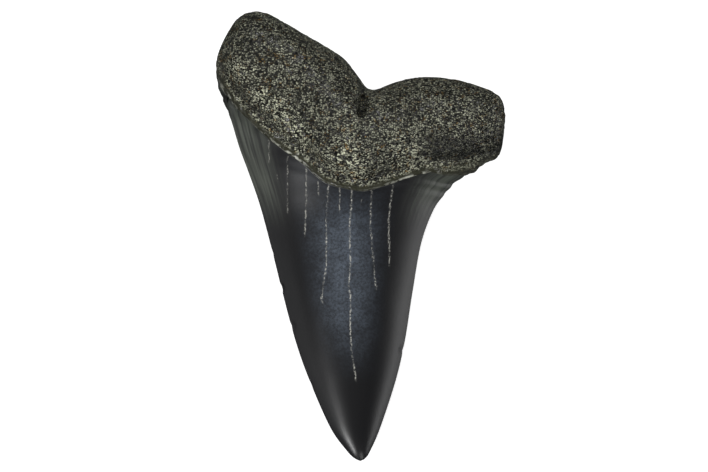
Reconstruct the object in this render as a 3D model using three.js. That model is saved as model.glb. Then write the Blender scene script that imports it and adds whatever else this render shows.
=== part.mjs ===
// Fossil tooth of a broad-toothed mako shark: a dark enamelled crown on a two-lobed root, grown as one piece.
// It lies on its flat lip side, with the bulging tongue side up.
// Units are millimetres. +X runs across the tooth, +Y from the tip to the root, +Z up from the surface it
// lies on. The origin is under the middle of the outline. Heights along the tooth are measured from its tip.

import * as THREE from 'three';
import { mergeVertices } from 'three/addons/utils/BufferGeometryUtils.js';

// Driving dimensions of the whole tooth
const TOOTH_LENGTH = 56.2;
const CUTTING_EDGE_HEIGHT = 1.15;
const ROOT_GIRTH_HEIGHT = 3.1;
const ROOT_LOBE_HEIGHT = 5.9;
const ROOT_TOP_ROUNDING = 4.2;
const ROOT_BASE_ROUNDING = 2.6;

// Both sides of the outline as pairs of stations, from the tip up to the end of each root lobe
const LEFT_SIDE = [
  [0, 0], [-0.72, 0.32], [-1.64, 1.2], [-3.78, 4.2], [-6.43, 10.2], [-8.19, 15.2], [-9.8, 21.2],
  [-11.29, 27.2], [-12.65, 32.2], [-14.04, 36.2], [-15.16, 39.2], [-16.4, 43.3], [-17.7, 46.7],
  [-18.04, 49.5], [-17.3, 52.1], [-15.7, 54.9], [-14.45, 55.9],
];
const RIGHT_SIDE = [
  [0, 0], [0.6, 0.32], [1.19, 1.2], [2.49, 4.2], [4.45, 10.2], [5.59, 15.2], [6.53, 21.2], [7.59, 27.2],
  [9.03, 31.2], [10.36, 33.2], [12.01, 35], [15.03, 37], [17.3, 38.3], [18.04, 42.2], [18, 43.95],
  [17.5, 45.4], [16.4, 46.3],
];

// Top of the root, from the left lobe through the notch to the right lobe
const ROOT_TOP = [
  [-14.45, 55.9], [-13.3, 56.2], [-12.1, 56.1], [-10.7, 55.5], [-7.2, 53.5], [-3.7, 51.45], [-1.8, 50.05],
  [-0.15, 47.9], [0.8, 46.7], [1.95, 46.5], [4.3, 47.35], [6.75, 47.95], [10.05, 47.95], [12.95, 47.45],
  [16.4, 46.3],
];

// Power of the height at which the rows take up the shape of the lobes and the notch
const LOBE_GROWTH = 1.7;

// Lines where the enamel ends and the root begins, from left to right, on the tongue side and on the lip side
const TONGUE_ENAMEL_LINE = [
  [-19.5, 48.6], [-17.9, 47.8], [-17.2, 46.9], [-15.8, 44.6], [-14.2, 42.95], [-12.3, 41.1], [-9.7, 38.95],
  [-7.2, 37.2], [-4.8, 35.1], [-2.8, 34.3], [0.2, 33.75], [2.55, 34.3], [4.55, 34.95], [8.45, 36.1],
  [10.55, 35.75], [12.2, 35.8], [13.8, 36.05], [18.5, 37],
];
const LIP_ENAMEL_LINE = [
  [-19.5, 48.6], [-17.9, 47.8], [-16.5, 46.2], [-12.5, 43.2], [-7, 40.8], [-1, 39.4], [5, 38.4], [10.5, 37.1],
  [13.8, 36.05], [18.5, 35],
];

// The crinkled enamel shoulders on both sides of the neck: middle of each, half its length, wave and height
const LEFT_SHOULDER = { middle: 44.9, half: 2.4, wave: 1.9, height: 0.16 };
const RIGHT_SHOULDER = { middle: 35.4, half: 2.6, wave: 1.2, height: 0.12 };

// The nutrient slot in the middle of the root
const SLOT = { x: 0.1, from: 42.9, to: 46.6, halfWidth: 0.5, depth: 1 };

// Rise of the crown's middle over its cutting edges, by height from the tip, and how full its section is
const CROWN_PROFILE = [
  [-1, -0.8], [0, 0], [1.2, 0.7], [4, 1.4], [10, 2.3], [15, 2.85], [20, 3.25], [26, 3.5], [30.5, 3.9],
  [34, 4.7], [38, 5.6], [50, 6.2],
];
const CROWN_FULLNESS = 2.3;

// The root's girth begins a little below the enamel line and is reached a little above it
const GIRTH = { from: -1.2, to: 1.6 };

// The root on the tongue side: the way over which it rises from the enamel line, the boss in its middle,
// the ridges of the two lobes, the bulge along its lower rim, the smooth band and groove below that, and
// the low lip with which it overlaps the enamel
const ROOT_STEP = 3;
const BOSS = { x: -1.5, y: 39.5, halfWidth: 8.5, halfLength: 7.5, rise: 2.3 };
const LEFT_LOBE = { lean: 0.95, offset: 38.8, halfWidth: 7, from: 40, to: 46, rise: 0.6 };
const RIGHT_LOBE = { y: 42.3, halfWidth: 3.5, from: 2, to: 8, rise: 0.4 };
const BULGE = { rise: 1.1, way: 1.8, halfWidth: 14 };
const NECK_BAND = { width: 1.35, widerBy: 0.8, from: 8, to: 12 };
const NECK_GROOVE = { depth: 0.35, halfWidth: 0.55 };
const NECK_LIP = { rise: 0.3, top: 0.25, to: 2.2 };
const LUMPS = [
  { rise: 0.08, turnsX: 0.85, turnsY: 0.4 },
  { rise: 0.07, turnsX: -0.5, turnsY: 1.15 },
];

// Hollows and lumps fade out towards the outline over these distances
const SHELTER = 1.6;
const LIP_SHELTER = 2;

// The lip side: flat in its middle, with the tip lifted, edges that round up from the middle of each half,
// a hollow under the root and a low step where its enamel ends
const TIP_LIFT = { way: 1.6, flatBelow: 0.03 };
const EDGE_ROUNDING = { from: 0.5, power: 1.8 };
const HOLLOW = { y: 42, halfWidth: 6, halfLength: 4.5, depth: 0.6, flatBelow: 0.08 };
const LIP_STEP = { from: -0.9, to: 2.2, ridge: 0.22, ridgeAt: 0.3, ridgeWay: 0.9 };

// Size of the facets on each face, and how much finer the rows are at the neck and towards the root's top
const FRONT_FACET = 0.64;
const BACK_FACET = 1.3;
const ROWS = 74;
const NECK_FINENESS = 1.1;
const TOP_FINENESS = 1.5;

// Share of the rows that lies below the enamel line
const NECK_LEVEL = 0.68;

const clamp01 = (value) => Math.min(1, Math.max(0, value));
const mix = (from, to, share) => from + (to - from) * share;
const bell = (value) => Math.exp(-value * value);

function smoothStep(from, to, value) {
  const share = clamp01((value - from) / (to - from));
  return share * share * (3 - 2 * share);
}

function spline(points) {
  const stations = points.map(([x, y]) => new THREE.Vector3(x, y, 0));
  return new THREE.CatmullRomCurve3(stations, false, 'catmullrom', 0.5);
}

const leftSide = spline(LEFT_SIDE);
const rightSide = spline(RIGHT_SIDE);
const rootTop = spline(ROOT_TOP);

// Height of a line that runs from left to right, at one x
function lineHeight(line, x) {
  const last = line.length - 2;
  let i = 0;
  while (i < last && x > line[i + 1][0]) i += 1;
  const before = line[Math.max(i - 1, 0)];
  const start = line[i];
  const end = line[i + 1];
  const after = line[Math.min(i + 2, last + 1)];
  const step = end[0] - start[0];
  const share = clamp01((x - start[0]) / step);
  const slopeIn = (end[1] - before[1]) / (end[0] - before[0]);
  const slopeOut = (after[1] - start[1]) / (after[0] - start[0]);
  const square = share * share;
  const cube = square * share;
  return start[1] * (2 * cube - 3 * square + 1) + end[1] * (3 * square - 2 * cube)
    + step * (slopeIn * (cube - 2 * square + share) + slopeOut * (cube - square));
}

// Distance past an enamel line, positive in the root and negative in the crown
function pastEnamel(line, x, y) {
  const reach = 0.4;
  const slope = (lineHeight(line, x + reach) - lineHeight(line, x - reach)) / (2 * reach);
  return (y - lineHeight(line, x)) / Math.hypot(1, slope);
}

// Small waves that a crinkled shoulder adds to the outline
function crinkle(shoulder, y) {
  const share = (y - shoulder.middle) / shoulder.half;
  if (Math.abs(share) >= 1) return 0;
  const wave = Math.cos((2 * Math.PI * (y - shoulder.middle)) / shoulder.wave);
  return shoulder.height * wave * (1 - share * share);
}

// A point of the outline's area: across is 0 at the left side and 1 at the right, along is 0 at the tip
// and 1 at the top of the root. The lobes grow out of the straight line between the two sides.
function place(across, along) {
  const left = leftSide.getPoint(along);
  const right = rightSide.getPoint(along);
  const top = rootTop.getPointAt(across);
  const lobes = along ** LOBE_GROWTH;
  const x = mix(left.x - crinkle(LEFT_SHOULDER, left.y), right.x + crinkle(RIGHT_SHOULDER, right.y), across);
  const y = mix(left.y, right.y, across);
  const lineX = mix(LEFT_SIDE.at(-1)[0], RIGHT_SIDE.at(-1)[0], across);
  const lineY = mix(LEFT_SIDE.at(-1)[1], RIGHT_SIDE.at(-1)[1], across);
  return [x + lobes * (top.x - lineX), y + lobes * (top.y - lineY)];
}

// Where a row crosses one column. Rows bend so that one of them, at the neck level, follows the enamel line.
function crossing(line, across, level) {
  let crown = 0.3;
  let root = 1;
  while (root - crown > 1e-5) {
    const middle = (crown + root) / 2;
    if (pastEnamel(line, ...place(across, middle)) < 0) crown = middle;
    else root = middle;
  }
  if (level > NECK_LEVEL) return mix(root, 1, (level - NECK_LEVEL) / (1 - NECK_LEVEL));
  return level * mix(1, root / NECK_LEVEL, (level / NECK_LEVEL) ** 2);
}

// Distance from a point to the outline, which is a ring of short straight steps here
const OUTLINE_STEPS = 140;
const shares = Array.from({ length: OUTLINE_STEPS }, (_, i) => i / OUTLINE_STEPS);
const outline = [
  ...shares.map((share) => place(0, share)),
  ...shares.map((share) => place(share, 1)),
  ...shares.map((share) => place(1, 1 - share)),
];

function toOutline(x, y) {
  let least = Infinity;
  outline.forEach(([startX, startY], i) => {
    const [endX, endY] = outline[(i + 1) % outline.length];
    const stepX = endX - startX;
    const stepY = endY - startY;
    const share = clamp01(((x - startX) * stepX + (y - startY) * stepY) / (stepX * stepX + stepY * stepY));
    least = Math.min(least, Math.hypot(x - startX - share * stepX, y - startY - share * stepY));
  });
  return least;
}

// Quarter-round that rises from 0 at the outline to 1 at one radius inside it
function rounding(distance, radius) {
  const share = 1 - clamp01(distance / radius);
  return Math.sqrt(1 - share * share);
}

// Height of the outline itself: a low cutting edge on the crown, the widest girth on the root
function edgeHeight(x, y) {
  const past = pastEnamel(TONGUE_ENAMEL_LINE, x, y);
  return mix(CUTTING_EDGE_HEIGHT, ROOT_GIRTH_HEIGHT, smoothStep(GIRTH.from, GIRTH.to, past));
}

// Width of the smooth band between the enamel and the root's bulge, which widens to the right
function neckBand(x) {
  return NECK_BAND.width + NECK_BAND.widerBy * smoothStep(NECK_BAND.from, NECK_BAND.to, x);
}

// The root on the tongue side: two lobes that meet in a boss, with a bulging lower rim
function rootHeight(x, y, past) {
  const boss = BOSS.rise * bell((x - BOSS.x) / BOSS.halfWidth) * bell((y - BOSS.y) / BOSS.halfLength);
  const fromLeftRidge = (x + LEFT_LOBE.lean * y - LEFT_LOBE.offset) / LEFT_LOBE.halfWidth;
  const leftLobe = LEFT_LOBE.rise * bell(fromLeftRidge) * smoothStep(LEFT_LOBE.from, LEFT_LOBE.to, y);
  const fromRightRidge = (y - RIGHT_LOBE.y) / RIGHT_LOBE.halfWidth;
  const rightLobe = RIGHT_LOBE.rise * bell(fromRightRidge) * smoothStep(RIGHT_LOBE.from, RIGHT_LOBE.to, x);
  const bulge = BULGE.rise * smoothStep(0, BULGE.way, past - neckBand(x)) * bell(x / BULGE.halfWidth);
  const lumps = LUMPS.reduce((sum, lump) => sum + lump.rise * Math.sin(lump.turnsX * x + lump.turnsY * y), 0);
  return ROOT_LOBE_HEIGHT + boss + leftLobe + rightLobe + bulge + lumps;
}

function slotDepth(x, y) {
  return SLOT.depth * bell((x - SLOT.x) / SLOT.halfWidth)
    * smoothStep(SLOT.from, SLOT.from + 0.7, y) * smoothStep(SLOT.to, SLOT.to - 1.2, y);
}

// Tongue side, which faces up
function frontHeight(x, y, across) {
  const past = pastEnamel(TONGUE_ENAMEL_LINE, x, y);
  const edge = edgeHeight(x, y);
  const sideways = Math.abs(2 * across - 1);
  const crownEdge = mix(CUTTING_EDGE_HEIGHT, edge, sideways ** 4);
  const crown = crownEdge + lineHeight(CROWN_PROFILE, y) * (1 - sideways ** CROWN_FULLNESS);
  const distance = toOutline(x, y);
  const root = mix(edge, rootHeight(x, y, past), rounding(distance, ROOT_TOP_ROUNDING));
  const inside = smoothStep(0, SHELTER, distance);
  const groove = NECK_GROOVE.depth * bell((past - neckBand(x)) / NECK_GROOVE.halfWidth) * inside;
  const overlap = smoothStep(0, NECK_LIP.top, past) * smoothStep(NECK_LIP.to, NECK_LIP.top, past);
  const relief = NECK_LIP.rise * overlap * inside - groove - slotDepth(x, y) * inside;
  return mix(crown, root, smoothStep(0, ROOT_STEP, past)) + relief;
}

// Lip side, which the tooth lies on: flat, rounded up to the outline, hollow under the middle of the root
function backHeight(x, y, across) {
  const edge = edgeHeight(x, y);
  const fromMiddle = Math.abs(2 * across - 1);
  const tipLift = Math.max(0, edge * Math.exp(-y / TIP_LIFT.way) - TIP_LIFT.flatBelow);
  const towardsEdge = clamp01((fromMiddle - EDGE_ROUNDING.from) / (1 - EDGE_ROUNDING.from));
  const crown = Math.max(tipLift, edge * towardsEdge ** EDGE_ROUNDING.power);
  const dip = HOLLOW.depth * bell(x / HOLLOW.halfWidth) * bell((y - HOLLOW.y) / HOLLOW.halfLength);
  const hollow = Math.max(0, dip - HOLLOW.flatBelow);
  const distance = toOutline(x, y);
  const root = mix(edge, hollow, rounding(distance, ROOT_BASE_ROUNDING));
  const past = pastEnamel(LIP_ENAMEL_LINE, x, y);
  const onRidge = Math.max(0, 1 - Math.abs(past - LIP_STEP.ridgeAt) / LIP_STEP.ridgeWay);
  const ridge = LIP_STEP.ridge * onRidge * smoothStep(0, LIP_SHELTER, distance);
  return mix(crown, root, smoothStep(LIP_STEP.from, LIP_STEP.to, past)) + ridge;
}

// Levels of the rows, evenly spaced on the surface and closer at the neck and near the top
function rowLevels() {
  const steps = 300;
  const columns = [0, 0.15, 0.3, 0.5, 0.7, 0.85, 1];
  const reached = [0];
  let last = columns.map((across) => place(across, 0));
  for (let i = 1; i <= steps; i += 1) {
    const level = i / steps;
    const next = columns.map((across) => place(across, crossing(TONGUE_ENAMEL_LINE, across, level)));
    const travel = next.map(([x, y], column) => Math.hypot(x - last[column][0], y - last[column][1]));
    const mean = travel.reduce((sum, value) => sum + value, 0) / columns.length;
    const fineness = NECK_FINENESS * bell((level - NECK_LEVEL - 0.05) / 0.06) + TOP_FINENESS * level ** 12;
    reached.push(reached.at(-1) + mean * (1 + fineness));
    last = next;
  }
  const rows = [];
  for (let row = 0, i = 0; row <= ROWS; row += 1) {
    const goal = (reached.at(-1) * row) / ROWS;
    while (i < steps - 1 && reached[i + 1] < goal) i += 1;
    rows.push((i + clamp01((goal - reached[i]) / (reached[i + 1] - reached[i]))) / steps);
  }
  return rows;
}

// One row of points on one face, closer together near the sides. The first row is the tip, a single point.
// Both faces meet in the same points on the outline.
function rowPoints(face, level) {
  const [leftX] = place(0, crossing(TONGUE_ENAMEL_LINE, 0, level));
  const [rightX] = place(1, crossing(TONGUE_ENAMEL_LINE, 1, level));
  const count = level === 0 ? 0 : Math.max(5, Math.round((rightX - leftX) / face.facet));
  const points = [];
  for (let i = 0; i <= count; i += 1) {
    const share = count === 0 ? 0.5 : i / count;
    const across = mix(share, 0.5 - 0.5 * Math.cos(Math.PI * share), 0.45);
    const onSide = i === 0 || i === count;
    const [x, y] = place(across, crossing(onSide ? TONGUE_ENAMEL_LINE : face.enamelLine, across, level));
    const onOutline = onSide || level === 0 || level === 1;
    points.push([x, y - TOOTH_LENGTH / 2, onOutline ? edgeHeight(x, y) : face.height(x, y, across)]);
  }
  return points;
}

// Triangles between two neighbouring rows that may have different numbers of points
function stitch(lower, upper, addTriangle) {
  const lowerSteps = lower.length - 1;
  const upperSteps = upper.length - 1;
  let i = 0;
  let j = 0;
  while (i < lowerSteps || j < upperSteps) {
    const lowerNext = i < lowerSteps ? (i + 1) / lowerSteps : Infinity;
    const upperNext = j < upperSteps ? (j + 1) / upperSteps : Infinity;
    if (lowerNext <= upperNext) {
      addTriangle(lower[i], lower[i + 1], upper[j]);
      i += 1;
    } else {
      addTriangle(lower[i], upper[j + 1], upper[j]);
      j += 1;
    }
  }
}

function toothGeometry() {
  const corners = [];
  const front = {
    facet: FRONT_FACET,
    enamelLine: TONGUE_ENAMEL_LINE,
    height: frontHeight,
    add: (a, b, c) => corners.push(...a, ...b, ...c),
  };
  const back = {
    facet: BACK_FACET,
    enamelLine: LIP_ENAMEL_LINE,
    height: backHeight,
    add: (a, b, c) => corners.push(...a, ...c, ...b),
  };
  const levels = rowLevels();
  const topRow = rowPoints(front, 1);
  for (const face of [front, back]) {
    const rows = [...levels.slice(0, -1).map((level) => rowPoints(face, level)), topRow];
    for (let row = 0; row < ROWS; row += 1) stitch(rows[row], rows[row + 1], face.add);
  }
  const geometry = new THREE.BufferGeometry();
  geometry.setAttribute('position', new THREE.Float32BufferAttribute(corners, 3));
  const merged = mergeVertices(geometry, 1e-4);
  merged.computeVertexNormals();
  return merged;
}

// Near-black fossil enamel and mineralised root, satin where worn
const fossil = new THREE.MeshStandardMaterial({ color: 0x2b2d2e, roughness: 0.45, metalness: 0 });

const tooth = new THREE.Mesh(toothGeometry(), fossil);
tooth.name = 'tooth';

const part = new THREE.Group();
part.add(tooth);

export default part;
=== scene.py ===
import math

import bmesh
import bpy
import numpy as np
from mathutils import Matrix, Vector, noise


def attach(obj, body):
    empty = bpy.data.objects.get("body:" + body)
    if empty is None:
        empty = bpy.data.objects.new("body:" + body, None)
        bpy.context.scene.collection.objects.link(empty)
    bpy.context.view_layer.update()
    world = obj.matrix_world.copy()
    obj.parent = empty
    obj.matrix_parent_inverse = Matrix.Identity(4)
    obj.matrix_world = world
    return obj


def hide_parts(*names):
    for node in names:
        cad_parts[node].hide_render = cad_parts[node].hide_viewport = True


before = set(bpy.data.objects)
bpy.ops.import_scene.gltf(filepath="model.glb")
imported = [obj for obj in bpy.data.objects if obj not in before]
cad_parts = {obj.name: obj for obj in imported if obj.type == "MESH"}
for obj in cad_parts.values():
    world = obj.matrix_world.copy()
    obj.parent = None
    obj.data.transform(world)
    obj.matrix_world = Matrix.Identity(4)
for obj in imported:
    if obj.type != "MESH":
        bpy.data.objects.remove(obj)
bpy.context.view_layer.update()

# The copy stand
# A glowing white table, a camera straight above it on a long lens, and lamps that model the tooth: a long low
# box on each side for the cutting edges, a strong box and a small lamp past the tip and one past the root for
# the relief, and a weak broad box overhead.
MM = 0.001
# A pixel of the photo at the height of the tooth's outline, and the pixel over the middle of the tooth
PIXEL = 0.125 * MM
PHOTO_WIDTH, PHOTO_HEIGHT = 708, 472
TOOTH_MIDDLE_PIXEL = 360.5, 236.75
OUTLINE_HEIGHT = 2 * MM
LENS, SENSOR = 150, 36
TABLE_HALF_WIDTH = 0.8
TABLE_GAP = 0.02 * MM


def aim(thing, azimuth, elevation, distance):
    """Places a thing round the tooth, azimuth 0 at +X and 90 at +Y, and turns it to face the tooth."""
    turn, tilt = math.radians(azimuth), math.radians(elevation)
    away = Vector((math.cos(tilt) * math.cos(turn), math.cos(tilt) * math.sin(turn), math.sin(tilt)))
    thing.location = away * distance
    thing.rotation_euler = away.to_track_quat("Z", "Y").to_euler()
    bpy.context.scene.collection.objects.link(thing)


def soft_box(name, azimuth, elevation, distance, width, height, brightness):
    """A lit panel that faces the tooth, in degrees and metres, as bright at any size."""
    lamp = bpy.data.lights.new(name, "AREA")
    lamp.shape = "RECTANGLE"
    lamp.size = width
    lamp.size_y = height
    lamp.energy = brightness * math.pi * width * height
    aim(bpy.data.objects.new(name, lamp), azimuth, elevation, distance)


def colour(code):
    """An sRGB hex code as linear red, green, blue and alpha."""
    shares = [int(code[i:i + 2], 16) / 255 for i in (1, 3, 5)]
    return [s / 12.92 if s <= 0.04045 else ((s + 0.055) / 1.055) ** 2.4 for s in shares] + [1.0]


soft_box("right_box", 0, 10, 0.5, 0.7, 0.13, 3.9)
soft_box("left_box", 180, 10, 0.5, 0.7, 0.13, 0.8)
soft_box("key_box", 234, 29, 0.5, 0.2, 0.14, 17)
soft_box("tip_lamp", 287, 24, 0.5, 0.12, 0.1, 8)
soft_box("root_lamp", 95, 50, 0.5, 0.16, 0.16, 14)
soft_box("overhead_box", 90, 86, 0.6, 0.7, 0.34, 0.34)

world = bpy.data.worlds.new("studio_air")
world.use_nodes = True
world.node_tree.nodes["Background"].inputs["Color"].default_value = colour("#f3f9ff")
world.node_tree.nodes["Background"].inputs["Strength"].default_value = 0.06
bpy.context.scene.world = world
bpy.context.scene.view_settings.view_transform = "Standard"

camera_data = bpy.data.cameras.new("camera")
camera_data.lens = LENS
camera_data.sensor_width = SENSOR
camera_data.clip_start = 10 * MM
camera = bpy.data.objects.new("camera", camera_data)
camera.location = (
    (PHOTO_WIDTH / 2 - TOOTH_MIDDLE_PIXEL[0]) * PIXEL,
    (TOOTH_MIDDLE_PIXEL[1] - PHOTO_HEIGHT / 2) * PIXEL,
    PHOTO_WIDTH * PIXEL * LENS / SENSOR + OUTLINE_HEIGHT,
)
bpy.context.scene.collection.objects.link(camera)
bpy.context.scene.camera = camera


def add_node(tree, kind, inputs, output=0, **settings):
    """Adds a node with its settings and its inputs, by name or number, and returns one of its outputs."""
    node = tree.nodes.new("ShaderNode" + kind)
    for name, value in settings.items():
        setattr(node, name, value)
    for name, value in inputs.items():
        if isinstance(value, bpy.types.NodeSocket):
            tree.links.new(value, node.inputs[name])
        else:
            node.inputs[name].default_value = value
    return node.outputs[output]


floor_bm = bmesh.new()
bmesh.ops.create_grid(floor_bm, x_segments=1, y_segments=1, size=TABLE_HALF_WIDTH)
bmesh.ops.translate(floor_bm, vec=(0, 0, -TABLE_GAP), verts=floor_bm.verts)
floor_mesh = bpy.data.meshes.new("light_table")
floor_bm.to_mesh(floor_mesh)
floor_bm.free()
floor = bpy.data.objects.new("light_table", floor_mesh)
bpy.context.scene.collection.objects.link(floor)
# Opal acrylic lit from below, which is white without a shadow
opal_acrylic = bpy.data.materials.new("opal_acrylic")
opal_acrylic.use_nodes = True
acrylic_shader = opal_acrylic.node_tree.nodes["Principled BSDF"]
acrylic_shader.inputs["Base Color"].default_value = colour("#c8c8c8")
acrylic_shader.inputs["Roughness"].default_value = 0.9
acrylic_shader.inputs["Emission Color"].default_value = colour("#ffffff")
acrylic_shader.inputs["Emission Strength"].default_value = 0.85
floor_mesh.materials.append(opal_acrylic)
# The photo has its background cut to white, so the table neither lights the tooth nor shows in its gloss
floor.visible_glossy = False
floor.visible_diffuse = False

# The tooth
# One piece that grew as a whole: a blade of enameloid over dentine, and a root of porous bone with two lobes,
# both turned near black in the ground. It lies on its flat lip side, with the bulging tongue side up.
# Sizes are in millimetres here, with heights along the tooth measured from its tip.
TOOTH_LENGTH = 56.2
CUTTING_EDGE_HEIGHT = 1.15
ROOT_GIRTH_HEIGHT = 3.1
ROOT_LOBE_HEIGHT = 5.9
ROOT_TOP_ROUNDING = 4.2
ROOT_BASE_ROUNDING = 2.6

# Both sides of the outline as pairs of stations from the tip up, and the top of the root from left to right
LEFT_SIDE = np.array([
    (0, 0), (-0.72, 0.32), (-1.64, 1.2), (-3.78, 4.2), (-6.43, 10.2), (-8.19, 15.2), (-9.8, 21.2),
    (-11.29, 27.2), (-12.65, 32.2), (-14.04, 36.2), (-15.16, 39.2), (-16.4, 43.3), (-17.7, 46.7),
    (-18.04, 49.5), (-17.3, 52.1), (-15.7, 54.9), (-14.45, 55.9),
])
RIGHT_SIDE = np.array([
    (0, 0), (0.6, 0.32), (1.19, 1.2), (2.49, 4.2), (4.45, 10.2), (5.59, 15.2), (6.53, 21.2), (7.59, 27.2),
    (9.03, 31.2), (10.36, 33.2), (12.01, 35), (15.03, 37), (17.3, 38.3), (18.04, 42.2), (18, 43.95),
    (17.5, 45.4), (16.4, 46.3),
])
ROOT_TOP = np.array([
    (-14.45, 55.9), (-13.3, 56.2), (-12.1, 56.1), (-10.7, 55.5), (-7.2, 53.5), (-3.7, 51.45), (-1.8, 50.05),
    (-0.15, 47.9), (0.8, 46.7), (1.95, 46.5), (4.3, 47.35), (6.75, 47.95), (10.05, 47.95), (12.95, 47.45),
    (16.4, 46.3),
])

# Power of the height at which the rows take up the shape of the lobes and the notch
LOBE_GROWTH = 1.7

# Lines where the enamel ends and the root begins, from left to right, on both faces
TONGUE_ENAMEL_LINE = np.array([
    (-19.5, 48.6), (-17.9, 47.8), (-17.2, 46.9), (-15.8, 44.6), (-14.2, 42.95), (-12.3, 41.1),
    (-9.7, 38.95), (-7.2, 37.2), (-4.8, 35.1), (-2.8, 34.3), (0.2, 33.75), (2.55, 34.3), (4.55, 34.95),
    (8.45, 36.1), (10.55, 35.75), (12.2, 35.8), (13.8, 36.05), (18.5, 37),
])
LIP_ENAMEL_LINE = np.array([
    (-19.5, 48.6), (-17.9, 47.8), (-16.5, 46.2), (-12.5, 43.2), (-7, 40.8), (-1, 39.4), (5, 38.4),
    (10.5, 37.1), (13.8, 36.05), (18.5, 35),
])

# The crinkled enamel shoulders on both sides of the neck, and the nutrient slot in the middle of the root
LEFT_SHOULDER = dict(middle=44.9, half=2.4, wave=1.9, height=0.16)
RIGHT_SHOULDER = dict(middle=35.4, half=2.6, wave=1.2, height=0.12)
SLOT = dict(x=0.1, start=42.9, end=46.6, half_width=0.5, depth=1.0, lower_slope=0.7, upper_slope=1.2)

# Rise of the crown's middle over its cutting edges, by height from the tip, and how full its section is
CROWN_PROFILE = np.array([
    (-1, -0.8), (0, 0), (1.2, 0.7), (4, 1.4), (10, 2.3), (15, 2.85), (20, 3.25), (26, 3.5), (30.5, 3.9),
    (34, 4.7), (38, 5.6), (50, 6.2),
])
CROWN_FULLNESS = 2.3

# The root's girth begins a little below the enamel line and is reached a little above it
GIRTH = dict(start=-1.2, end=1.6)

# The root on the tongue side: the way over which it rises from the enamel line, the boss in its middle, the
# ridges of the two lobes, the bulge along its lower rim, the smooth band and groove below that, and the low
# lip with which it overlaps the enamel
ROOT_STEP = 3.0
BOSS = dict(x=-1.5, y=39.5, half_width=8.5, half_length=7.5, rise=2.3)
LEFT_LOBE = dict(lean=0.95, offset=38.8, half_width=7, start=40, end=46, rise=0.6)
RIGHT_LOBE = dict(y=42.3, half_width=3.5, start=2, end=8, rise=0.4)
BULGE = dict(rise=1.1, way=1.8, half_width=14)
NECK_BAND = dict(width=1.35, wider_by=0.8, start=8, end=12)
NECK_GROOVE = dict(depth=0.35, half_width=0.55)
NECK_LIP = dict(rise=0.3, top=0.25, end=2.2)
BROAD_LUMPS = [dict(rise=0.08, turns_x=0.85, turns_y=0.4), dict(rise=0.07, turns_x=-0.5, turns_y=1.15)]

# Hollows and lumps fade out towards the outline over these distances
SHELTER = 1.6
LIP_SHELTER = 2

# The lip side: flat in its middle, with the tip lifted, edges that round up from the middle of each half, a
# hollow under the root and a low step where its enamel ends
TIP_LIFT = dict(way=1.6, flat_below=0.03)
EDGE_ROUNDING = dict(start=0.5, power=1.8)
HOLLOW = dict(y=42, half_width=6, half_length=4.5, depth=0.6, flat_below=0.08)
LIP_STEP = dict(start=-0.9, end=2.2, ridge=0.22, ridge_at=0.3, ridge_way=0.9)


def mix(start, end, share):
    return start + (end - start) * share


def bell(value):
    return np.exp(-value * value)


def smooth_step(start, end, value):
    share = np.clip((value - start) / (end - start), 0, 1)
    return share * share * (3 - 2 * share)


def spline(points, share):
    """Points on a smooth curve through the given ones, at shares from 0 to 1 of its stations."""
    last = len(points) - 1
    ends = np.vstack([2 * points[0] - points[1], points, 2 * points[-1] - points[-2]])
    spot = np.clip(share, 0, 1) * last
    i = np.minimum(spot.astype(int), last - 1)
    t = (spot - i)[..., None]
    a, b, c, d = ends[i], ends[i + 1], ends[i + 2], ends[i + 3]
    return b + 0.5 * t * (c - a + t * (2 * a - 5 * b + 4 * c - d + t * (3 * b - a - 3 * c + d)))


def line_height(line, x):
    """Height of a line that runs from left to right, at each x."""
    last = len(line) - 2
    i = np.clip(np.searchsorted(line[:, 0], x, side="left") - 1, 0, last)
    before, start = line[np.maximum(i - 1, 0)], line[i]
    end, after = line[i + 1], line[np.minimum(i + 2, last + 1)]
    step = end[..., 0] - start[..., 0]
    t = np.clip((x - start[..., 0]) / step, 0, 1)
    slope_in = (end[..., 1] - before[..., 1]) / (end[..., 0] - before[..., 0])
    slope_out = (after[..., 1] - start[..., 1]) / (after[..., 0] - start[..., 0])
    return (
        start[..., 1] * (2 * t**3 - 3 * t**2 + 1) + end[..., 1] * (3 * t**2 - 2 * t**3)
        + step * (slope_in * (t**3 - 2 * t**2 + t) + slope_out * (t**3 - t**2))
    )


def past_enamel(line, x, y):
    """Distance past an enamel line, positive in the root and negative in the crown."""
    reach = 0.4
    slope = (line_height(line, x + reach) - line_height(line, x - reach)) / (2 * reach)
    return (y - line_height(line, x)) / np.hypot(1, slope)


def crinkle(shoulder, y):
    """Small waves that a crinkled shoulder adds to the outline."""
    share = np.clip(np.abs(y - shoulder["middle"]) / shoulder["half"], 0, 1)
    wave = np.cos(2 * np.pi * (y - shoulder["middle"]) / shoulder["wave"])
    return shoulder["height"] * wave * (1 - share * share)


# The root's top by true length, as its lobes are longer than the notch between them
TOP_SAMPLES = 400
top_shares = np.linspace(0, 1, TOP_SAMPLES)
top_steps = np.linalg.norm(np.diff(spline(ROOT_TOP, top_shares), axis=0), axis=1)
top_reached = np.concatenate([[0], np.cumsum(top_steps)]) / top_steps.sum()


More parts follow.
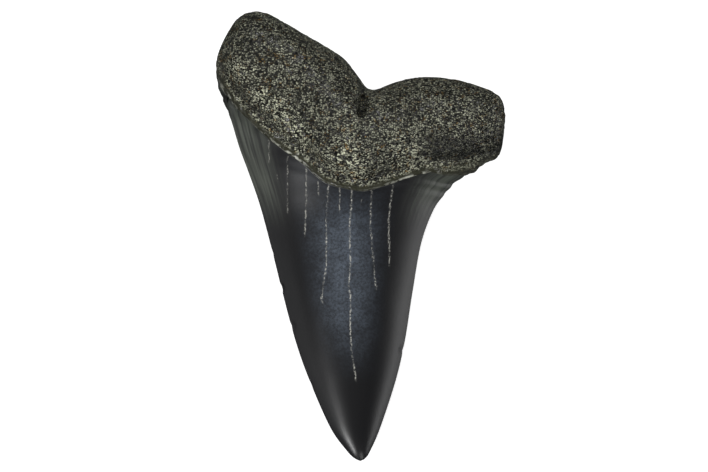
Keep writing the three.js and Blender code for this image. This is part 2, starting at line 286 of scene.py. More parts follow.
def place(across, along):
    """Point inside the outline, by its shares of the way from left to right and from tip to top."""
    left, right = spline(LEFT_SIDE, along), spline(RIGHT_SIDE, along)
    top = spline(ROOT_TOP, np.interp(across, top_reached, top_shares))
    # The lobes grow out of a straight top
    lobes = along**LOBE_GROWTH
    left_x = left[..., 0] - crinkle(LEFT_SHOULDER, left[..., 1])
    right_x = right[..., 0] + crinkle(RIGHT_SHOULDER, right[..., 1])
    x = mix(left_x, right_x, across)
    y = mix(left[..., 1], right[..., 1], across)
    return (
        x + lobes * (top[..., 0] - mix(LEFT_SIDE[-1, 0], RIGHT_SIDE[-1, 0], across)),
        y + lobes * (top[..., 1] - mix(LEFT_SIDE[-1, 1], RIGHT_SIDE[-1, 1], across)),
    )


# Share of the rows below the enamel line, and a share of the way that lies in the crown in every column
NECK_LEVEL = 0.68
SURELY_CROWN = 0.3
HALVINGS = 20
CROSSING_SAMPLES = 301


def neck_shares(line, across):
    """Share of the way from tip to top where each column crosses an enamel line."""
    crown, root = np.full_like(across, SURELY_CROWN), np.ones_like(across)
    for _ in range(HALVINGS):
        middle = (crown + root) / 2
        in_crown = past_enamel(line, *place(across, middle)) < 0
        crown, root = np.where(in_crown, middle, crown), np.where(in_crown, root, middle)
    return root


def crossing(line, across, level):
    """Where a row crosses each column. The row at the neck level follows the enamel line."""
    samples = np.linspace(0, 1, CROSSING_SAMPLES)
    neck = np.interp(across, samples, neck_shares(line, samples))
    above = mix(neck, 1, (level - NECK_LEVEL) / (1 - NECK_LEVEL))
    below = level * mix(1, neck / NECK_LEVEL, (level / NECK_LEVEL) ** 2)
    return np.where(level > NECK_LEVEL, above, below)


# The outline as a closed loop of points: up the left side, along the root's top and down the right side
OUTLINE_STEPS = 300
POINTS_AT_ONCE = 2000
outline_shares = np.arange(OUTLINE_STEPS) / OUTLINE_STEPS
outline = np.concatenate([
    np.stack(place(np.zeros(OUTLINE_STEPS), outline_shares), 1),
    np.stack(place(outline_shares, np.ones(OUTLINE_STEPS)), 1),
    np.stack(place(np.ones(OUTLINE_STEPS), 1 - outline_shares), 1),
])


def to_outline(x, y):
    """Distance from each point to the outline."""
    steps = np.roll(outline, -1, axis=0) - outline
    lengths = (steps * steps).sum(1)
    nearest = []
    for part in np.array_split(np.stack([x, y], 1), max(1, len(x) // POINTS_AT_ONCE)):
        offset = part[:, None] - outline
        share = np.clip((offset * steps).sum(2) / lengths, 0, 1)
        nearest.append(np.linalg.norm(offset - share[..., None] * steps, axis=2).min(1))
    return np.concatenate(nearest)


def rounding(distance, radius):
    """Rise of a quarter circle, by distance from the outline."""
    share = 1 - np.clip(distance / radius, 0, 1)
    return np.sqrt(1 - share * share)


def edge_height(x, y):
    """Height of the outline itself: a low cutting edge on the crown, the widest girth on the root."""
    past = past_enamel(TONGUE_ENAMEL_LINE, x, y)
    return mix(CUTTING_EDGE_HEIGHT, ROOT_GIRTH_HEIGHT, smooth_step(GIRTH["start"], GIRTH["end"], past))


def neck_band(x):
    """Width of the smooth band between the enamel and the root's bulge, at each x."""
    return NECK_BAND["width"] + NECK_BAND["wider_by"] * smooth_step(NECK_BAND["start"], NECK_BAND["end"], x)


def root_height(x, y):
    """The root on the tongue side: two lobes that meet in a boss, with a bulging lower rim."""
    along_boss = bell((y - BOSS["y"]) / BOSS["half_length"])
    boss = BOSS["rise"] * bell((x - BOSS["x"]) / BOSS["half_width"]) * along_boss
    from_left_ridge = (x + LEFT_LOBE["lean"] * y - LEFT_LOBE["offset"]) / LEFT_LOBE["half_width"]
    left_reach = smooth_step(LEFT_LOBE["start"], LEFT_LOBE["end"], y)
    left_lobe = LEFT_LOBE["rise"] * bell(from_left_ridge) * left_reach
    from_right_ridge = (y - RIGHT_LOBE["y"]) / RIGHT_LOBE["half_width"]
    right_reach = smooth_step(RIGHT_LOBE["start"], RIGHT_LOBE["end"], x)
    right_lobe = RIGHT_LOBE["rise"] * bell(from_right_ridge) * right_reach
    past_band = past_enamel(TONGUE_ENAMEL_LINE, x, y) - neck_band(x)
    bulge = BULGE["rise"] * smooth_step(0, BULGE["way"], past_band) * bell(x / BULGE["half_width"])
    lumps = sum(wave["rise"] * np.sin(wave["turns_x"] * x + wave["turns_y"] * y) for wave in BROAD_LUMPS)
    return ROOT_LOBE_HEIGHT + boss + left_lobe + right_lobe + bulge + lumps


def slot_depth(x, y):
    lower_end = smooth_step(SLOT["start"], SLOT["start"] + SLOT["lower_slope"], y)
    upper_end = smooth_step(SLOT["end"], SLOT["end"] - SLOT["upper_slope"], y)
    return SLOT["depth"] * bell((x - SLOT["x"]) / SLOT["half_width"]) * lower_end * upper_end


def tongue_height(x, y, across, distance):
    """Height of the tongue side, which faces up."""
    past = past_enamel(TONGUE_ENAMEL_LINE, x, y)
    edge = edge_height(x, y)
    sideways = np.abs(2 * across - 1)
    crown_edge = mix(CUTTING_EDGE_HEIGHT, edge, sideways**4)
    crown = crown_edge + line_height(CROWN_PROFILE, y) * (1 - sideways**CROWN_FULLNESS)
    root = mix(edge, root_height(x, y), rounding(distance, ROOT_TOP_ROUNDING))
    inside = smooth_step(0, SHELTER, distance)
    groove = NECK_GROOVE["depth"] * bell((past - neck_band(x)) / NECK_GROOVE["half_width"]) * inside
    overlap = smooth_step(0, NECK_LIP["top"], past) * smooth_step(NECK_LIP["end"], NECK_LIP["top"], past)
    relief = NECK_LIP["rise"] * overlap * inside - groove - slot_depth(x, y) * inside
    return mix(crown, root, smooth_step(0, ROOT_STEP, past)) + relief


def lip_height(x, y, across, distance):
    """Height of the lip side, which the tooth lies on."""
    edge = edge_height(x, y)
    sideways = np.abs(2 * across - 1)
    tip_lift = np.maximum(0, edge * np.exp(-y / TIP_LIFT["way"]) - TIP_LIFT["flat_below"])
    towards_edge = np.clip((sideways - EDGE_ROUNDING["start"]) / (1 - EDGE_ROUNDING["start"]), 0, 1)
    crown = np.maximum(tip_lift, edge * towards_edge ** EDGE_ROUNDING["power"])
    along_hollow = bell((y - HOLLOW["y"]) / HOLLOW["half_length"])
    dip = HOLLOW["depth"] * bell(x / HOLLOW["half_width"]) * along_hollow
    root = mix(edge, np.maximum(0, dip - HOLLOW["flat_below"]), rounding(distance, ROOT_BASE_ROUNDING))
    past = past_enamel(LIP_ENAMEL_LINE, x, y)
    on_ridge = np.maximum(0, 1 - np.abs(past - LIP_STEP["ridge_at"]) / LIP_STEP["ridge_way"])
    ridge = LIP_STEP["ridge"] * on_ridge * smooth_step(0, LIP_SHELTER, distance)
    return mix(crown, root, smooth_step(LIP_STEP["start"], LIP_STEP["end"], past)) + ridge


# Rows of the mesh, evenly spaced on the root, closer just above the neck and near the top, and wider on the
# smooth crown
ROWS = 230
COLUMNS = 300
COLUMNS_PER_LIP_COLUMN = 3
NECK_ROWS = dict(fineness=1.6, above=0.03, half=0.06)
TOP_ROWS = dict(fineness=1.2, power=12)
CROWN_FINENESS = 0.5
SIDE_CLOSENESS = 0.45
LEVEL_SAMPLES = 401
levels = np.linspace(0, 1, LEVEL_SAMPLES)
sample_across, sample_level = np.meshgrid([0, 0.15, 0.3, 0.5, 0.7, 0.85, 1], levels)
walked = np.stack(place(sample_across, crossing(TONGUE_ENAMEL_LINE, sample_across, sample_level)), 2)
travel = np.linalg.norm(np.diff(walked, axis=0), axis=2).mean(1)
from_neck = (levels[1:] - NECK_LEVEL - NECK_ROWS["above"]) / NECK_ROWS["half"]
fineness = 1 + NECK_ROWS["fineness"] * bell(from_neck)
fineness += TOP_ROWS["fineness"] * levels[1:] ** TOP_ROWS["power"]
fineness *= np.where(levels[1:] < NECK_LEVEL, CROWN_FINENESS, 1.0)
row_reached = np.concatenate([[0], np.cumsum(travel * fineness)])
row_levels = np.interp(np.linspace(0, row_reached[-1], ROWS + 1), row_reached, levels)
row_levels[np.abs(row_levels - NECK_LEVEL).argmin()] = NECK_LEVEL


def spread(share):
    """Columns a little closer together near the sides."""
    return mix(share, 0.5 - 0.5 * np.cos(np.pi * share), SIDE_CLOSENESS)


def swell(x, y, z, width):
    """Smooth noise from about -1 to 1, its swells about one width apart."""
    spots = np.stack([x, y, z], 1) / width
    return np.array([noise.noise(Vector(spot)) for spot in spots])


# Chips out of the cutting edges: place and depth of each, positive from the left
NICK_RADIUS = 0.35
NICKS = [(-9.9, 21.7, 0.2), (-8.5, 16.95, 0.13), (5.2, 13.95, -0.1), (-11.0, 26.1, 0.07), (-6.3, 9.6, 0.07)]

# Pits in and beside the nutrient slot and a knob at its top, then knobs of enamel on the right shoulder and
# knobs with a pit between them on the left one: place, radius and height of each
PITS_AND_KNOBS = [
    (0.06, 43.3, 0.36, -1.2), (0.2, 43.9, 0.3, -0.9), (0.31, 44.5, 0.34, -0.8), (-0.44, 44.7, 0.28, -0.8),
    (0.94, 44.7, 0.24, -0.8), (0.3, 45.4, 0.24, -0.6), (-0.8, 45.3, 0.16, -0.4), (-0.44, 45.75, 0.42, 0.3),
    (14.1, 36.6, 0.55, 0.35), (12.9, 36.15, 0.4, 0.2), (15.2, 37.0, 0.35, 0.2),
    (-17.3, 46.9, 0.5, 0.3), (-17.0, 46.0, 0.5, 0.3), (-16.6, 44.8, 0.45, 0.28), (-16.3, 44.0, 0.45, 0.25),
    (-16.75, 45.4, 0.3, -0.25),
]

# Worn spots of the root, where the bone is polished into larger glossy lumps and glints are painted as pale
# clusters: place and radius of each
WORN_AND_GLINT_SPOTS = [
    (-10.4, 44.3, 0.9), (-9.4, 42.4, 1.2), (-8.1, 40.9, 1.4), (-15.3, 48.6, 1.1), (-12.6, 45.6, 0.9),
    (-0.7, 35.8, 1.5), (16.0, 40.2, 1.2), (-1.6, 38.0, 1.8), (6.5, 38.0, 1.8),
]

# Hairline cracks down the crown, filled with pale clay: points from the neck down, half width and strength of
# each. They wander from side to side in two waves.
CRACKS = [
    (((-11.39, 40.1), (-11.39, 37.1)), 0.045, 0.45),
    (((-10.3, 35.7), (-10.3, 34.8)), 0.045, 0.35),
    (((-9.06, 38.1), (-9.06, 30.8)), 0.045, 0.55),
    (((-6.71, 36.4), (-6.78, 32), (-6.96, 28.1)), 0.05, 0.85),
    (((-5.25, 34.9), (-5.25, 32.8)), 0.045, 0.5),
    (((-3.96, 34.9), (-4.22, 31.7), (-4.29, 30.1), (-4.22, 26.4), (-4.26, 24.3), (-4.5, 23), (-4.84, 20.4),
      (-4.7, 19.6)), 0.06, 0.95),
    (((-2.56, 34.4), (-2.62, 30.8)), 0.05, 0.8),
    (((-1.04, 34.6), (-1.22, 31.1), (-1.41, 29.6), (-1.29, 27.4), (-1.29, 25), (-1.45, 22), (-1.26, 21),
      (-1.26, 15.7), (-1.14, 14.1), (-0.87, 12.4), (-0.62, 10.4), (-0.59, 9.9)), 0.065, 1.0),
    (((0.06, 32.7), (0.06, 31.6)), 0.045, 0.35),
    (((1.39, 34), (1.2, 29.8), (1.51, 26.2), (1.75, 23.3), (1.98, 21.4)), 0.05, 0.9),
    (((4.06, 34.7), (3.63, 31.7), (3.5, 29.8), (3.63, 24.3)), 0.05, 0.9),
]
SLOW_WANDER = dict(reach=0.04, turns=7)
QUICK_WANDER = dict(reach=0.03, turns=17)
CRACK_FADE = 0.8


def crack_mask(x, y):
    """How much of the pale filling shows at each point of the crown, from 0 to 1."""
    mask = np.zeros_like(x)
    for points, half_width, strength in CRACKS:
        path = np.array(points)[::-1]
        middle = np.interp(y, path[:, 1], path[:, 0])
        middle += SLOW_WANDER["reach"] * np.sin(SLOW_WANDER["turns"] * y)
        middle += QUICK_WANDER["reach"] * np.sin(QUICK_WANDER["turns"] * y + points[0][0])
        low, high = path[0, 1], path[-1, 1]
        ends = smooth_step(low - 0.05, low + CRACK_FADE, y) * smooth_step(high + 0.1, high, y)
        mask = np.maximum(mask, strength * ends * bell((x - middle) / half_width))
    return mask


# How open the grain is in the smooth band of the neck and at the outline, against 1 elsewhere
GRAIN_IN_BAND = 0.35
GRAIN_AT_OUTLINE = 0.8

# Places where shade is painted into the colour: the underside of the right lobe, the slot and its pits, the
# groove of the neck, the hollow of the left shoulder and the end of the left lobe
UNDER_RIGHT_LOBE = dict(across=(5, 9), lower=(1.0, 2.0), upper=(5.4, 3.8))
ROUND_SLOT = dict(x=0.15, y=45, half_width=0.65, half_length=2.1, strength=0.5)
PIT_SHADE = 1.3
GROOVE_SHADE = dict(half_width=0.28, strength=0.6)
SHOULDER_HOLLOW = dict(x=-17.0, y=45.6, radius=1.3, strength=0.9)
LEFT_LOBE_END = dict(across=(-12.5, -15.5), strength=0.3)

# Stretches of the lip's edge where a glint is painted: middle and half length of each, and how strong the
# painted glint is on the rest
LIP_GLINT_STRETCHES = [(-16.3, 0.8), (-9, 2.8), (6.3, 2.4)]
LIP_GLINT_ELSEWHERE = 0.05


def grain_at(past, distance, band_end):
    """How open the grain of the bone is, from 0 to 1."""
    beyond_band = smooth_step(band_end - 0.9, band_end - 0.1, past)
    clear_of_lip = smooth_step(0.35, 0.75, past)
    from_outline = mix(GRAIN_AT_OUTLINE, 1, smooth_step(0, 1.3, distance))
    return mix(GRAIN_IN_BAND, 1, beyond_band) * clear_of_lip * from_outline


def shade_at(x, y, past, band_end):
    """How much shade is painted into the tongue side under overhangs and in hollows, from 0 to 1."""
    under_right_lobe = smooth_step(*UNDER_RIGHT_LOBE["across"], x)
    under_right_lobe *= smooth_step(*UNDER_RIGHT_LOBE["upper"], past)
    under_right_lobe *= smooth_step(*UNDER_RIGHT_LOBE["lower"], past)
    beside_slot = (x - ROUND_SLOT["x"]) / ROUND_SLOT["half_width"]
    along_slot = (y - ROUND_SLOT["y"]) / ROUND_SLOT["half_length"]
    round_slot = ROUND_SLOT["strength"] * bell(np.hypot(beside_slot, along_slot))
    in_pits = [
        PIT_SHADE * bell(np.hypot(x - pit_x, y - pit_y) / radius)
        for pit_x, pit_y, radius, rise in PITS_AND_KNOBS
        if rise < 0
    ]
    in_grooves = GROOVE_SHADE["strength"] * bell((past - band_end) / GROOVE_SHADE["half_width"])
    from_hollow = np.hypot(x - SHOULDER_HOLLOW["x"], y - SHOULDER_HOLLOW["y"])
    in_grooves += SHOULDER_HOLLOW["strength"] * bell(from_hollow / SHOULDER_HOLLOW["radius"])
    return np.clip(np.max([under_right_lobe, round_slot, in_grooves, *in_pits], axis=0), 0, 1)


def lip_glint_at(x, past):
    """How strong a glint is painted on the edge of the lip along the enamel line, from 0 to about 1."""
    on_edge = smooth_step(-0.02, 0.1, past) * smooth_step(0.36, 0.16, past)
    lip_glint = sum(bell((x - middle) / half_length) for middle, half_length in LIP_GLINT_STRETCHES)
    return on_edge * (lip_glint + LIP_GLINT_ELSEWHERE)


def wear_and_glints_at(x, y, past, distance, band_end):
    """How worn and smooth the bone is, and how strongly glints are painted on it, from 0 to 1: in its spots
    and in the neck band.
    """
    in_spots = [bell(np.hypot(x - spot_x, y - spot_y) / radius) for spot_x, spot_y, radius in WORN_AND_GLINT_SPOTS]
    in_band = smooth_step(band_end, band_end - 0.6, past) * smooth_step(0.3, 1.2, distance)
    return np.maximum(np.max(in_spots, axis=0), in_band)


# Each face is a flat grid that is moved into its place. The two meet along the outline and are welded there.
LIP_SIDE_BAND = 1.2
CRACK_END = 0.15
ON_EDGE = 1e-4
WELD_DISTANCE = 1e-4
LAYERS = "past_enamel", "grain", "painted_shade", "lip_glint", "wear_and_glints", "crack", "across"
bm = bmesh.new()
layers = {name: bm.verts.layers.float.new(name) for name in LAYERS}
for columns, line, height, faces_up in (
    (COLUMNS, TONGUE_ENAMEL_LINE, tongue_height, True),
    (COLUMNS // COLUMNS_PER_LIP_COLUMN, LIP_ENAMEL_LINE, lip_height, False),
):
    first_vert, first_edge, first_face = len(bm.verts), len(bm.edges), len(bm.faces)
    bmesh.ops.create_grid(bm, x_segments=columns, y_segments=ROWS, size=0.5)
    if not faces_up:
        grid_edges = list(bm.edges)[first_edge:]
        top_edges = [e for e in grid_edges if all(v.co.y > 0.5 - ON_EDGE for v in e.verts)]
        bmesh.ops.subdivide_edges(bm, edges=top_edges, cuts=COLUMNS_PER_LIP_COLUMN - 1)
        bmesh.ops.reverse_faces(bm, faces=list(bm.faces)[first_face:])
    verts = list(bm.verts)[first_vert:]
    flat = np.array([v.co.xy for v in verts]) + 0.5
    share, row = flat[:, 0], np.rint(flat[:, 1] * ROWS).astype(int)
    across = spread(share)
    level = row_levels[row]
    on_side = (share < ON_EDGE) | (share > 1 - ON_EDGE)
    along = np.where(on_side, crossing(TONGUE_ENAMEL_LINE, across, level), crossing(line, across, level))
    x, y = place(across, along)
    distance = to_outline(x, y)
    on_outline = on_side | (row == 0) | (row == ROWS)
    z = np.where(on_outline, edge_height(x, y), height(x, y, across, distance))
    past = past_enamel(line, x, y)
    for nick_x, nick_y, depth in NICKS:
        x = x + depth * bell(np.hypot(x - nick_x, y - nick_y) / NICK_RADIUS)
    band_end = neck_band(x) if faces_up else LIP_SIDE_BAND
    # Painted shade at the end of the left lobe, on both faces
    left_end_shade = LEFT_LOBE_END["strength"] * smooth_step(*LEFT_LOBE_END["across"], x) * (past > 0)
    values = dict(
        past_enamel=past,
        grain=grain_at(past, distance, band_end),
        painted_shade=np.maximum(shade_at(x, y, past, band_end) * faces_up, left_end_shade),
        lip_glint=lip_glint_at(x, past) * faces_up,
        wear_and_glints=wear_and_glints_at(x, y, past, distance, band_end) * faces_up,
        crack=crack_mask(x, y) * (past < CRACK_END) * faces_up,
        across=across,
    )
    for i, vert in enumerate(verts):
        vert.co = (x[i], y[i] - TOOTH_LENGTH / 2, z[i])
        for name, layer in layers.items():
            vert[layer] = values[name][i]
bmesh.ops.remove_doubles(bm, verts=bm.verts, dist=WELD_DISTANCE)

# Relief that is too fine for the solid, along the surface's normals: lumps of the bone and of its neck band,
# the sharp lip where the root overlaps the enamel, grooves of the cracks, faint waves of the enamel, pits and
# knobs
BONE_LUMPS = [dict(rise=0.12, width=2.2), dict(rise=0.09, width=0.5), dict(rise=0.055, width=0.32)]
WORN_LUMPS = dict(rise=0.1, worn_rise=0.12, width=0.9)
BAND_LUMPS = [dict(rise=0.08, width=1.3), dict(rise=0.07, width=0.6), dict(rise=0.04, width=0.35)]
SHARP_LIP = dict(rise=0.13, unevenness=1.5, width=1.1)
CRACK_DEPTH = 0.04
ENAMEL_WAVES = dict(rise=0.012, width=3)
STEEP = 0.3
bm.normal_update()
spots = np.array([v.co for v in bm.verts])
normals = np.array([v.normal for v in bm.verts])
past, grain, wear_and_glints, crack = (
    np.array([v[layers[name]] for v in bm.verts]) for name in ("past_enamel", "grain", "wear_and_glints", "crack")
)
x, y, z = spots[:, 0], spots[:, 1] + TOOTH_LENGTH / 2, spots[:, 2]
in_root = smooth_step(0, 0.3, past)
lumps = sum(lump["rise"] * swell(x, y, z, lump["width"]) for lump in BONE_LUMPS)
lumps += (WORN_LUMPS["rise"] + WORN_LUMPS["worn_rise"] * wear_and_glints) * swell(x, y, z, WORN_LUMPS["width"])
band_lumps = sum(lump["rise"] * swell(x, y, z, lump["width"]) for lump in BAND_LUMPS)
on_lip = smooth_step(-0.04, 0.1, past) * smooth_step(0.8, 0.15, past)
lip = SHARP_LIP["rise"] * on_lip * (1 + SHARP_LIP["unevenness"] * swell(x, y, z, SHARP_LIP["width"]))
relief = grain * lumps + (1 - grain) * in_root * band_lumps + lip - CRACK_DEPTH * crack
relief += (1 - in_root) * ENAMEL_WAVES["rise"] * swell(x, y, z, ENAMEL_WAVES["width"])
tongue_side = normals[:, 2] > 0
for pit_x, pit_y, radius, rise in PITS_AND_KNOBS:
    relief += rise * bell(np.hypot(x - pit_x, y - pit_y) / radius) * tongue_side
# Nothing grows past the outline or below the table
relief = np.where(np.abs(normals[:, 2]) < STEEP, np.minimum(relief, 0), relief)
moved = spots + normals * relief[:, None]
moved[:, 2] = np.maximum(moved[:, 2], 0)
for vert, spot in zip(bm.verts, moved):
    vert.co = spot
bmesh.ops.scale(bm, vec=(MM, MM, MM), verts=bm.verts)
for face in bm.faces:
    face.smooth = True
    face.material_index = 1 if sum(v[layers["past_enamel"]] for v in face.verts) > 0 else 0
tooth_mesh = bpy.data.meshes.new("tooth_surface")
bm.to_mesh(tooth_mesh)
bm.free()
tooth = bpy.data.objects.new("tooth_surface", tooth_mesh)
bpy.context.scene.collection.objects.link(tooth)

# Fossil enameloid, smooth as it grew and darkened by minerals: near black with a satin gloss, a bluish bloom
# in the middle of the crown that is partly fine etching and partly a painted sheen of the broad light
# overhead, growth lines where it flares and broken threads of pale clay in its cracks
CROWN_MIDDLE = 0.49
GROWTH_LINES = 75
LINE_DRIFT = 0.12
fossil_enamel = bpy.data.materials.new("fossil_enamel")
fossil_enamel.use_nodes = True
enamel = fossil_enamel.node_tree
place_in_mm = add_node(enamel, "VectorMath", {
    0: add_node(enamel, "TexCoord", {}, output="Object"),
    "Scale": 1 / MM,
}, operation="SCALE")
height = add_node(enamel, "SeparateXYZ", {0: place_in_mm}, output="Y")
share_across = add_node(enamel, "Attribute", {}, output="Fac", attribute_name="across")
crack_filling = add_node(enamel, "Attribute", {}, output="Fac", attribute_name="crack")
painted_shoulder_shade = add_node(enamel, "Attribute", {}, output="Fac", attribute_name="painted_shade")

# The bloom and its painted sheen fade towards the tip, the neck and both edges. A map range takes a value,
# the range it lies in and the range it is drawn onto. Heights are measured from the middle of the tooth here.
smooth = dict(interpolation_type="SMOOTHSTEP")
off_middle = add_node(enamel, "Math", {
    0: add_node(enamel, "Math", {0: share_across, 1: CROWN_MIDDLE}, operation="SUBTRACT"),
}, operation="ABSOLUTE")
bloom_and_sheen = add_node(enamel, "Math", {
    0: add_node(enamel, "MapRange", {0: height, 1: -19, 2: -6}, **smooth),
    1: add_node(enamel, "MapRange", {0: height, 1: 5.5, 2: 0.5, 3: 0.25, 4: 1}, **smooth),
}, operation="MULTIPLY")
bloom_and_sheen = add_node(enamel, "Math", {
    0: bloom_and_sheen,
    1: add_node(enamel, "MapRange", {0: off_middle, 1: 0.35, 2: 0}, **smooth),
}, operation="MULTIPLY")
# Clouds about two millimetres wide and specks of a third of a millimetre, the finest that show
clouds = add_node(enamel, "TexNoise", {"Vector": place_in_mm, "Scale": 0.45, "Detail": 3})
specks = add_node(enamel, "TexNoise", {"Vector": place_in_mm, "Scale": 3.2, "Detail": 2, "Roughness": 0.7})
bloom_and_sheen = add_node(enamel, "Math", {
    0: bloom_and_sheen,
    1: add_node(enamel, "MapRange", {0: clouds, 1: 0.25, 2: 0.65, 3: 0.55, 4: 1}, **smooth),
}, operation="MULTIPLY")
speckled_bloom_and_sheen = add_node(enamel, "Math", {
    0: bloom_and_sheen,
    1: add_node(enamel, "MapRange", {0: specks, 1: 0.3, 2: 0.7, 3: 0.35, 4: 1}, **smooth),
}, operation="MULTIPLY")
enamel_colour = add_node(enamel, "Mix", {
    0: speckled_bloom_and_sheen, 6: colour("#111113"), 7: colour("#5a636f"),
}, output=2, data_type="RGBA")

# Growth lines along the crown, a quarter of a millimetre apart, where it flares
line_spot = add_node(enamel, "CombineXYZ", {
    0: add_node(enamel, "Math", {0: share_across, 1: GROWTH_LINES}, operation="MULTIPLY"),
    1: add_node(enamel, "Math", {0: height, 1: LINE_DRIFT}, operation="MULTIPLY"),
})
growth_lines = add_node(enamel, "TexNoise", {"Vector": line_spot, "Scale": 1, "Detail": 2})
flare = add_node(enamel, "Math", {
    0: add_node(enamel, "MapRange", {0: height, 1: 0, 2: 8}, **smooth),
    1: add_node(enamel, "MapRange", {0: off_middle, 1: 0.3, 2: 0.44}, **smooth),
}, operation="MULTIPLY")
flare_share = add_node(enamel, "Math", {
    0: flare,
    1: add_node(enamel, "MapRange", {0: growth_lines, 1: 0.3, 2: 0.7, 3: 0.2, 4: 1}, **smooth),
}, operation="MULTIPLY")
enamel_colour = add_node(enamel, "Mix", {
    0: flare_share, 6: enamel_colour, 7: colour("#565a52"),
}, output=2, data_type="RGBA")

# Painted shade in the hollow of the crinkled left shoulder
enamel_colour = add_node(enamel, "Mix", {
    0: painted_shoulder_shade, 6: enamel_colour, 7: colour("#0c0c0c"),
}, output=2, data_type="RGBA")

# The clay has fallen out of the cracks here and there
clay_specks = add_node(enamel, "TexNoise", {"Vector": place_in_mm, "Scale": 4, "Detail": 0})
clay_gaps = add_node(enamel, "TexNoise", {"Vector": place_in_mm, "Scale": 0.9, "Detail": 0})
clay = add_node(enamel, "Math", {
    0: crack_filling,
    1: add_node(enamel, "MapRange", {0: clay_specks, 1: 0.38, 2: 0.6, 3: 0.1, 4: 1}, **smooth),
}, operation="MULTIPLY")
clay = add_node(enamel, "Math", {
    0: clay,
    1: add_node(enamel, "MapRange", {0: clay_gaps, 1: 0.36, 2: 0.5, 3: 0.35, 4: 1}, **smooth),
}, operation="MULTIPLY")
enamel_colour = add_node(enamel, "Mix", {
    0: clay, 6: enamel_colour, 7: colour("#d2d0c6"),
}, output=2, data_type="RGBA")

line_relief = add_node(enamel, "Math", {
    0: growth_lines,
    1: add_node(enamel, "MapRange", {0: flare, 1: 0, 2: 1, 3: 0.06, 4: 1}, **smooth),
}, operation="MULTIPLY")
enamel_bump = add_node(enamel, "Bump", {"Height": line_relief, "Strength": 0.8, "Distance": 0.02 * MM})
enamel_roughness = add_node(enamel, "MapRange", {0: bloom_and_sheen, 1: 0, 2: 1, 3: 0.36, 4: 0.45}, **smooth)
enamel_shader = enamel.nodes["Principled BSDF"]
enamel_shader.inputs["IOR"].default_value = 1.5
enamel.links.new(enamel_colour, enamel_shader.inputs["Base Color"])
enamel.links.new(enamel_roughness, enamel_shader.inputs["Roughness"])
enamel.links.new(enamel_bump, enamel_shader.inputs["Normal"])

# Fossil bone, weathered and mineralised: pale polished beads between black pores, their paleness partly
# painted glints, some stained a dull ochre, smooth and dark in the band next to the enamel and where it is
# worn
fossil_bone = bpy.data.materials.new("fossil_bone")
fossil_bone.use_nodes = True
bone = fossil_bone.node_tree
# Size in millimetres of a bead of the grain. Many stay dark, so the bright spots lie about 0.4 mm apart in
# the render, as they do in the photo at this scale. Finer pores between them wouldn't show.
BEAD_LENGTH, BEAD_WIDTH = 0.25, 0.17
SHADE_STRENGTH = 0.72
place_in_mm = add_node(bone, "VectorMath", {
    0: add_node(bone, "TexCoord", {}, output="Object"),
    "Scale": 1 / MM,
}, operation="SCALE")
grain_share = add_node(bone, "Attribute", {}, output="Fac", attribute_name="grain")
painted_shade = add_node(bone, "Attribute", {}, output="Fac", attribute_name="painted_shade")
wear_and_glints = add_node(bone, "Attribute", {}, output="Fac", attribute_name="wear_and_glints")
lip_glint = add_node(bone, "Attribute", {}, output="Fac", attribute_name="lip_glint")

# Bends about a millimetre wide keep the beads out of straight rows
waves = add_node(bone, "TexNoise", {"Vector": place_in_mm, "Scale": 0.9, "Detail": 3}, output="Color")
bent = add_node(bone, "VectorMath", {
    0: waves, 1: (0.6, 0.6, 0.6), 2: place_in_mm,
}, operation="MULTIPLY_ADD")
bead_spot = add_node(bone, "VectorMath", {
    0: bent, 1: (1 / BEAD_LENGTH, 1 / BEAD_WIDTH, 1 / BEAD_WIDTH),
}, operation="MULTIPLY")
bead_distance = add_node(bone, "TexVoronoi", {
    "Vector": bead_spot, "Scale": 1, "Randomness": 1,
}, output="Distance")
bead_top = add_node(bone, "MapRange", {0: bead_distance, 1: 0.7, 2: 0.24}, **smooth)
bead_tones = bead_distance.node.outputs["Color"]
bead_tone = add_node(bone, "SeparateColor", {0: bead_tones}, output="Red")
stain_tone = add_node(bone, "SeparateColor", {0: bead_tones}, output="Green")

# Clusters of beads half a millimetre wide and patches of three millimetres stand out lighter
clusters = add_node(bone, "TexNoise", {"Vector": place_in_mm, "Scale": 1.7, "Detail": 2})
patches = add_node(bone, "TexNoise", {"Vector": place_in_mm, "Scale": 0.35, "Detail": 2})
# How pale each bead is painted: partly its own tone, partly painted glints
bead_light = add_node(bone, "Math", {
    0: bead_top,
    1: add_node(bone, "MapRange", {0: bead_tone, 1: 0.12, 2: 1, 3: 0.08, 4: 1}, **smooth),
}, operation="MULTIPLY")
bead_light = add_node(bone, "Math", {
    0: bead_light,
    1: add_node(bone, "MapRange", {0: clusters, 1: 0.3, 2: 0.7, 3: 0.5, 4: 1}, **smooth),
}, operation="MULTIPLY")
bead_light = add_node(bone, "Math", {
    0: bead_light,
    1: add_node(bone, "MapRange", {0: patches, 1: 0.3, 2: 0.7, 3: 0.7, 4: 1}, **smooth),
}, operation="MULTIPLY")
# Painted glints: worn spots have beads painted much paler in clusters, dark between them
glint_clusters = add_node(bone, "TexNoise", {"Vector": place_in_mm, "Scale": 1.5, "Detail": 2})
painted_glints = add_node(bone, "Mix", {
    0: wear_and_glints,
    2: 0.95,
    3: add_node(bone, "MapRange", {0: glint_clusters, 1: 0.4, 2: 0.56, 3: 0.6, 4: 4.5}, **smooth),
})
bead_light = add_node(bone, "Math", {0: bead_light, 1: painted_glints}, operation="MULTIPLY")

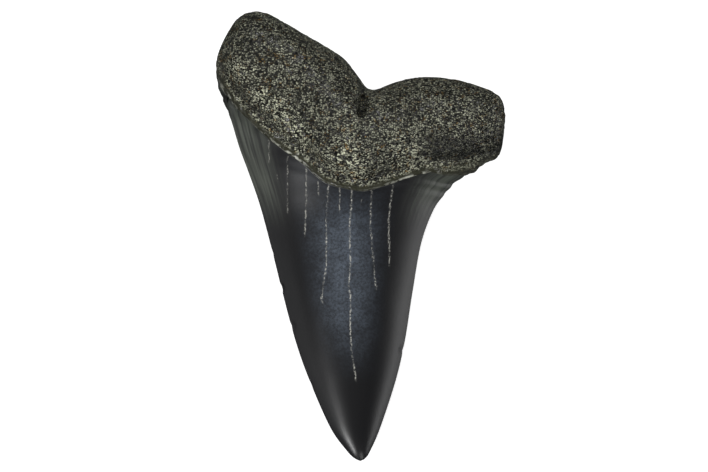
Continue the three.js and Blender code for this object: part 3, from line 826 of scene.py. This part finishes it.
# Patches a millimetre wide in which some beads are stained
stains = add_node(bone, "TexNoise", {"Vector": place_in_mm, "Scale": 1.1, "Detail": 2})
stain = add_node(bone, "Math", {
    0: add_node(bone, "MapRange", {0: stains, 1: 0.51, 2: 0.62}, **smooth),
    1: add_node(bone, "MapRange", {0: stain_tone, 1: 0.3, 2: 0.8}, **smooth),
}, operation="MULTIPLY")
bead_colour = add_node(bone, "Mix", {
    0: stain, 6: colour("#e6e7cb"), 7: colour("#ab8d58"),
}, output=2, data_type="RGBA")
open_colour = add_node(bone, "Mix", {
    0: bead_light, 6: colour("#070806"), 7: bead_colour,
}, output=2, data_type="RGBA")
smooth_tone = add_node(bone, "TexNoise", {"Vector": place_in_mm, "Scale": 2, "Detail": 3})
smooth_colour = add_node(bone, "Mix", {
    0: add_node(bone, "MapRange", {0: smooth_tone, 1: 0.3, 2: 0.7}, **smooth),
    6: colour("#161711"),
    7: colour("#38382e"),
}, output=2, data_type="RGBA")
smooth_colour = add_node(bone, "Mix", {
    0: wear_and_glints, 6: smooth_colour, 7: colour("#37372c"),
}, output=2, data_type="RGBA")

# Painted glints along the lip's edge, pale grey, broken into short stretches
lip_breaks = add_node(bone, "TexNoise", {"Vector": place_in_mm, "Scale": 1.6, "Detail": 2})
painted_lip_glint = add_node(bone, "Math", {
    0: lip_glint,
    1: add_node(bone, "MapRange", {0: lip_breaks, 1: 0.42, 2: 0.58, 3: 0, 4: 1}, **smooth),
}, operation="MULTIPLY")
smooth_colour = add_node(bone, "Mix", {
    0: painted_lip_glint, 6: smooth_colour, 7: colour("#cfd0c2"),
}, output=2, data_type="RGBA")
bone_colour = add_node(bone, "Mix", {
    0: grain_share, 6: smooth_colour, 7: open_colour,
}, output=2, data_type="RGBA")
# Painted shade: the bone is darkened under the right lobe, in the slot, its pits and the grooves, and at the
# end of the left lobe
bone_colour = add_node(bone, "Mix", {
    0: add_node(bone, "Math", {0: painted_shade, 1: SHADE_STRENGTH}, operation="MULTIPLY"),
    6: bone_colour,
    7: colour("#0b0c0a"),
}, output=2, data_type="RGBA")

bead_relief = add_node(bone, "Math", {
    0: add_node(bone, "Math", {0: bead_top, 1: grain_share}, operation="MULTIPLY"),
    1: add_node(bone, "Math", {0: smooth_tone, 1: 0.25}, operation="MULTIPLY"),
}, operation="ADD")
bone_bump = add_node(bone, "Bump", {"Height": bead_relief, "Strength": 1, "Distance": 0.07 * MM})
bone_roughness = add_node(bone, "Mix", {
    0: grain_share,
    2: 0.75,
    3: add_node(bone, "MapRange", {0: bead_top, 1: 0, 2: 0.8, 3: 0.28, 4: 0.2}, **smooth),
})
bone_roughness = add_node(bone, "Mix", {0: wear_and_glints, 2: bone_roughness, 3: 0.2})
bone_shader = bone.nodes["Principled BSDF"]
bone_shader.inputs["IOR"].default_value = 1.38
bone.links.new(bone_colour, bone_shader.inputs["Base Color"])
bone.links.new(bone_roughness, bone_shader.inputs["Roughness"])
bone.links.new(bone_bump, bone_shader.inputs["Normal"])

tooth_mesh.materials.append(fossil_enamel)
tooth_mesh.materials.append(fossil_bone)

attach(tooth, "root")
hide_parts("tooth")
